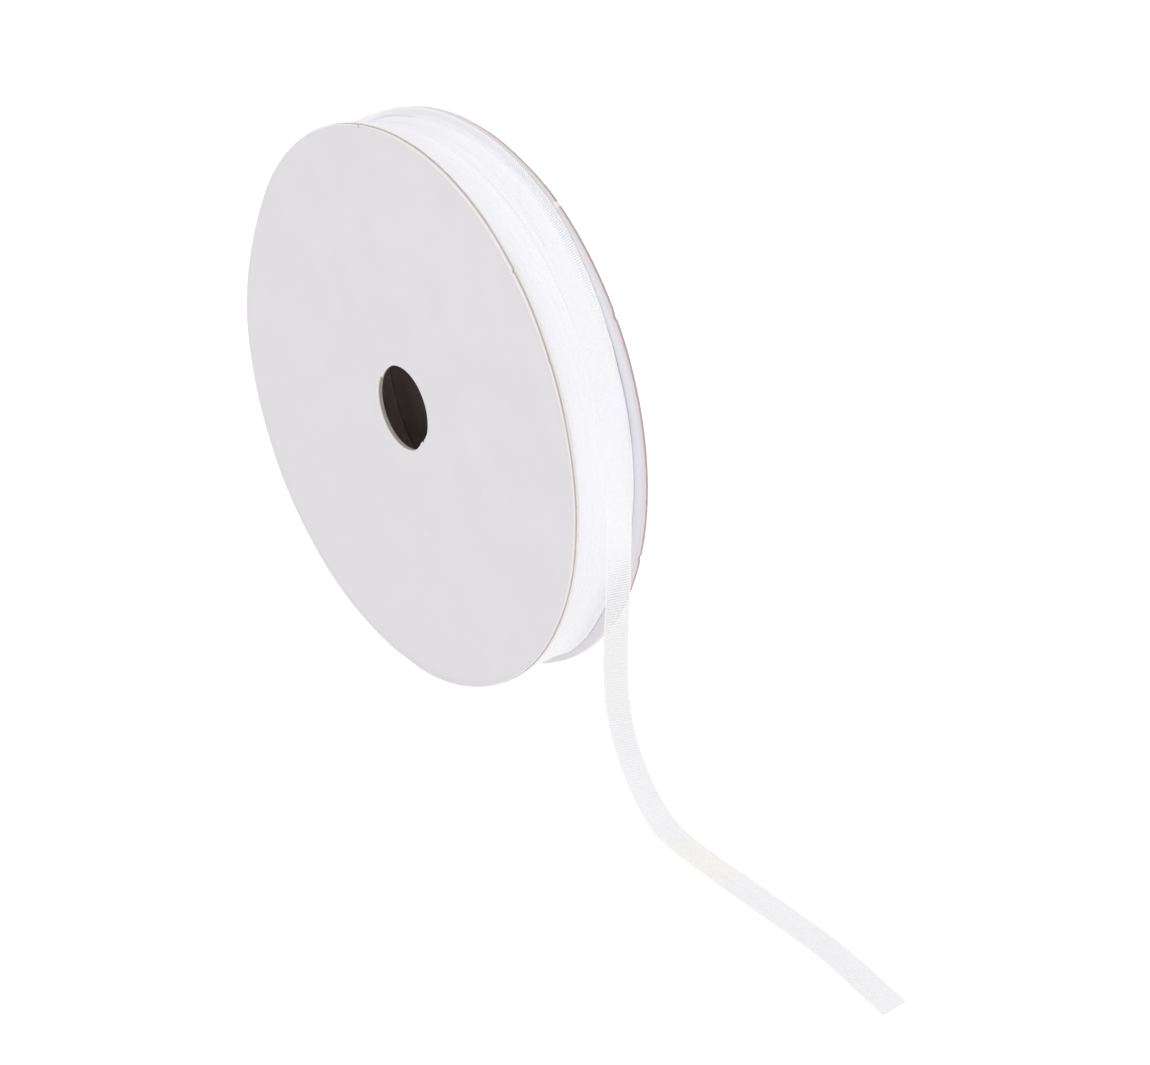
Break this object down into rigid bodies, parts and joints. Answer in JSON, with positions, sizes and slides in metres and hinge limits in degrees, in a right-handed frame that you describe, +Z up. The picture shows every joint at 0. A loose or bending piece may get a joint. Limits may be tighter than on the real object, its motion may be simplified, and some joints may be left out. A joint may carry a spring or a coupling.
{
  "type": "roll of organza ribbon on a card spool",
  "caption": "Narrow sheer ribbon wound on a round card spool with a centre hole, standing on its rims, its loose end hanging and lying on the surface.",
  "frame": {"origin": "on the surface that the spool stands on, straight under the middle of the roll", "axes": "+Z up; +Y along the spool's axis from the near disc to the far disc; +X the way the loose end runs"},
  "size_m": [0.2082, 0.0192, 0.1148],
  "materials": {
    "disc_card": "white lined greyboard, matt, with a brown-grey cut edge",
    "core_card": "bare brown card, matt",
    "organza": "white sheer plain weave with a soft shine"
  },
  "bodies": {
    "root": {"front_disc": "disc_card", "rear_disc": "disc_card", "core_tube": "core_card", "wound_ribbon": "organza", "ribbon_end": "organza"}
  },
  "joints": []
}
